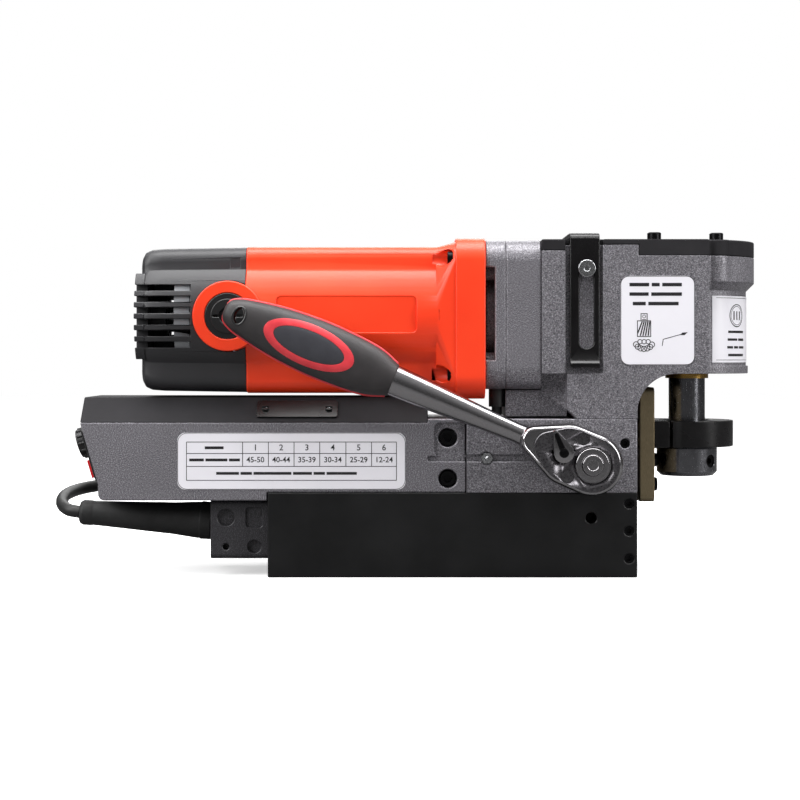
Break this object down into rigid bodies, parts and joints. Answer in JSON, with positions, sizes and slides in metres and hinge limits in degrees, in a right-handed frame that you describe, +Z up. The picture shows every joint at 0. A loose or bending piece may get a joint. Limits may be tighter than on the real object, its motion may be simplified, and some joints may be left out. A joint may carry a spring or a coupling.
{
  "type": "magnetic drill press",
  "caption": "Low-profile magnetic drill with a lying motor, a right-angle gear case, a ratchet-fed slide and a bored arbor for annular cutters.",
  "frame": {"origin": "middle of the magnet's lower face, which sits on the work", "axes": "+Z up, +X along the magnet towards the arbor, -Y the side that carries the ratchet wrench"},
  "size_m": [0.4445, 0.2532, 0.2114],
  "materials": {
    "magnet_black": "satin black paint on steel",
    "hammered_grey": "hammered grey enamel on aluminium castings",
    "cover_black": "satin dark powder coat",
    "orange_shell": "orange moulded nylon",
    "black_shell": "black moulded nylon, fine texture",
    "black_plastic": "black moulded plastic",
    "label": "printed vinyl label",
    "brass": "machined",
    "gibbed_plate": "aluminium bronze, milled",
    "ground_steel": "ground",
    "black_oxide": "black oxide",
    "chrome_steel": "satin chrome",
    "zinc_screws": "bright zinc",
    "black_steel": "semi-gloss black",
    "copper": "enamelled copper wire",
    "resin": "cast epoxy",
    "lamination": "electrical steel",
    "carbon": "pressed carbon",
    "circuit_board": "solder mask",
    "rubber": "moulded rubber",
    "cord_sheath": "rubber sheath",
    "grip": "two-colour moulded grip",
    "grey_plastic": "pale grey moulded plastic",
    "red_button": "moulded",
    "green_button": "moulded"
  },
  "bodies": {
    "base_unit": {"magnet_block": "magnet_black", "magnet_coil": "copper", "magnet_potting": "resin", "slide_housing": "hammered_grey", "gib_strip": "brass", "gib_screws": "black_oxide", "grease_nipple": "zinc_screws", "control_box": "hammered_grey", "box_cover": "cover_black", "access_plate": "black_steel", "rear_panel": "black_plastic", "control_board": "circuit_board", "housing_screws": "black_oxide", "cable_block": "cover_black", "cable_boot": "rubber", "mains_cord": "cord_sheath", "cord_coil": "cord_sheath", "cord_tie": "black_plastic", "mains_plug": "rubber", "speed_label": "label", "case_labels": "label", "gear_case": "hammered_grey", "gear_case_cover": "cover_black", "cap_screws": "black_oxide", "vent_casting": "hammered_grey", "reduction_case": "hammered_grey", "motor_housing": "orange_shell", "end_cap": "black_shell", "air_guide": "grey_plastic", "brush_caps": "black_plastic", "carbon_brushes": "carbon", "stator": "lamination", "motor_bearings": "ground_steel", "gear_bearings": "ground_steel", "spindle_seal": "brass", "pinion_bushes": "brass", "lead_conduit": "rubber", "handle_bolts": "zinc_screws"},
    "feed_slide": {"slide_plate": "gibbed_plate", "rack_bar": "ground_steel", "yoke": "black_steel", "slide_screws": "black_oxide", "yoke_bearing": "ground_steel"},
    "arbor": {"arbor": "ground_steel", "arbor_set_screws": "black_oxide"},
    "spindle_drive": {"drive_sleeve": "ground_steel"},
    "layshaft": {"layshaft": "ground_steel", "layshaft_gear": "ground_steel"},
    "armature": {"armature": "lamination", "cooling_fan": "black_plastic"},
    "feed_pinion": {"feed_pinion": "ground_steel", "ratchet_drive": "chrome_steel"},
    "release_button": {"release_button": "chrome_steel"},
    "wrench": {"wrench_body": "chrome_steel", "wrench_cover": "black_oxide", "wrench_grip": "grip"},
    "reverse_lever": {"reverse_lever": "chrome_steel"},
    "carrying_handle": {"carrying_handle": "black_steel"},
    "magnet_switch": {"magnet_switch": "red_button"},
    "motor_switch": {"motor_switch": "green_button"},
    "speed_dial": {"speed_dial": "black_plastic"}
  },
  "joints": [
    {"name": "feed", "type": "slide", "parent": "base_unit", "child": "feed_slide", "axis": [0, 0, 1], "range_m": [-0.04, 0.016]},
    {"name": "pinion_turn", "type": "hinge", "parent": "base_unit", "child": "feed_pinion", "pos_m": [0.083, 0, 0.0704], "axis": [0, 1, 0], "range_deg": [-94.3, 235.4]},
    {"name": "wrench_swing", "type": "hinge", "parent": "base_unit", "child": "wrench", "pos_m": [0.083, 0, 0.0704], "axis": [0, 1, 0], "range_deg": [-34, 157]},
    {"name": "pawl_reverse", "type": "hinge", "parent": "wrench", "child": "reverse_lever", "pos_m": [0.06587, -0.066, 0.07764], "axis": [0, 1, 0], "range_deg": [-88, 0]},
    {"name": "socket_release", "type": "slide", "parent": "feed_pinion", "child": "release_button", "axis": [0, 1, 0], "range_m": [0, 0.003], "stiffness_N_per_m": 700},
    {"name": "handle_raise", "type": "slide", "parent": "base_unit", "child": "carrying_handle", "axis": [0, 0, 1], "range_m": [0, 0.045]},
    {"name": "armature_spin", "type": "hinge", "parent": "base_unit", "child": "armature", "pos_m": [0, 0, 0.16], "axis": [1, 0, 0], "continuous": true},
    {"name": "layshaft_spin", "type": "hinge", "parent": "base_unit", "child": "layshaft", "pos_m": [0.06, 0, 0.183], "axis": [1, 0, 0], "continuous": true},
    {"name": "spindle_spin", "type": "hinge", "parent": "base_unit", "child": "spindle_drive", "pos_m": [0.15, 0, 0.15], "axis": [0, 0, 1], "continuous": true},
    {"name": "arbor_spin", "type": "hinge", "parent": "feed_slide", "child": "arbor", "pos_m": [0.15, 0, 0.08], "axis": [0, 0, 1], "continuous": true},
    {"name": "magnet_rocker", "type": "hinge", "parent": "base_unit", "child": "magnet_switch", "pos_m": [-0.21693, -0.018, 0.06744], "axis": [-0.2808, 0, 0.9598], "range_deg": [0, 20]},
    {"name": "motor_rocker", "type": "hinge", "parent": "base_unit", "child": "motor_switch", "pos_m": [-0.21693, 0.018, 0.06744], "axis": [-0.2808, 0, 0.9598], "range_deg": [0, 20]},
    {"name": "speed_turn", "type": "hinge", "parent": "base_unit", "child": "speed_dial", "pos_m": [-0.22842, 0, 0.08179], "axis": [-0.9598, 0, -0.2808], "range_deg": [0, 300]}
  ],
  "couplings": [
    {"joint": "pinion_turn", "follows": "feed", "rad_per_m": -102.56},
    {"joint": "layshaft_spin", "follows": "armature_spin", "ratio": -0.35294},
    {"joint": "spindle_spin", "follows": "armature_spin", "ratio": 0.11765},
    {"joint": "arbor_spin", "follows": "armature_spin", "ratio": 0.11765}
  ]
}
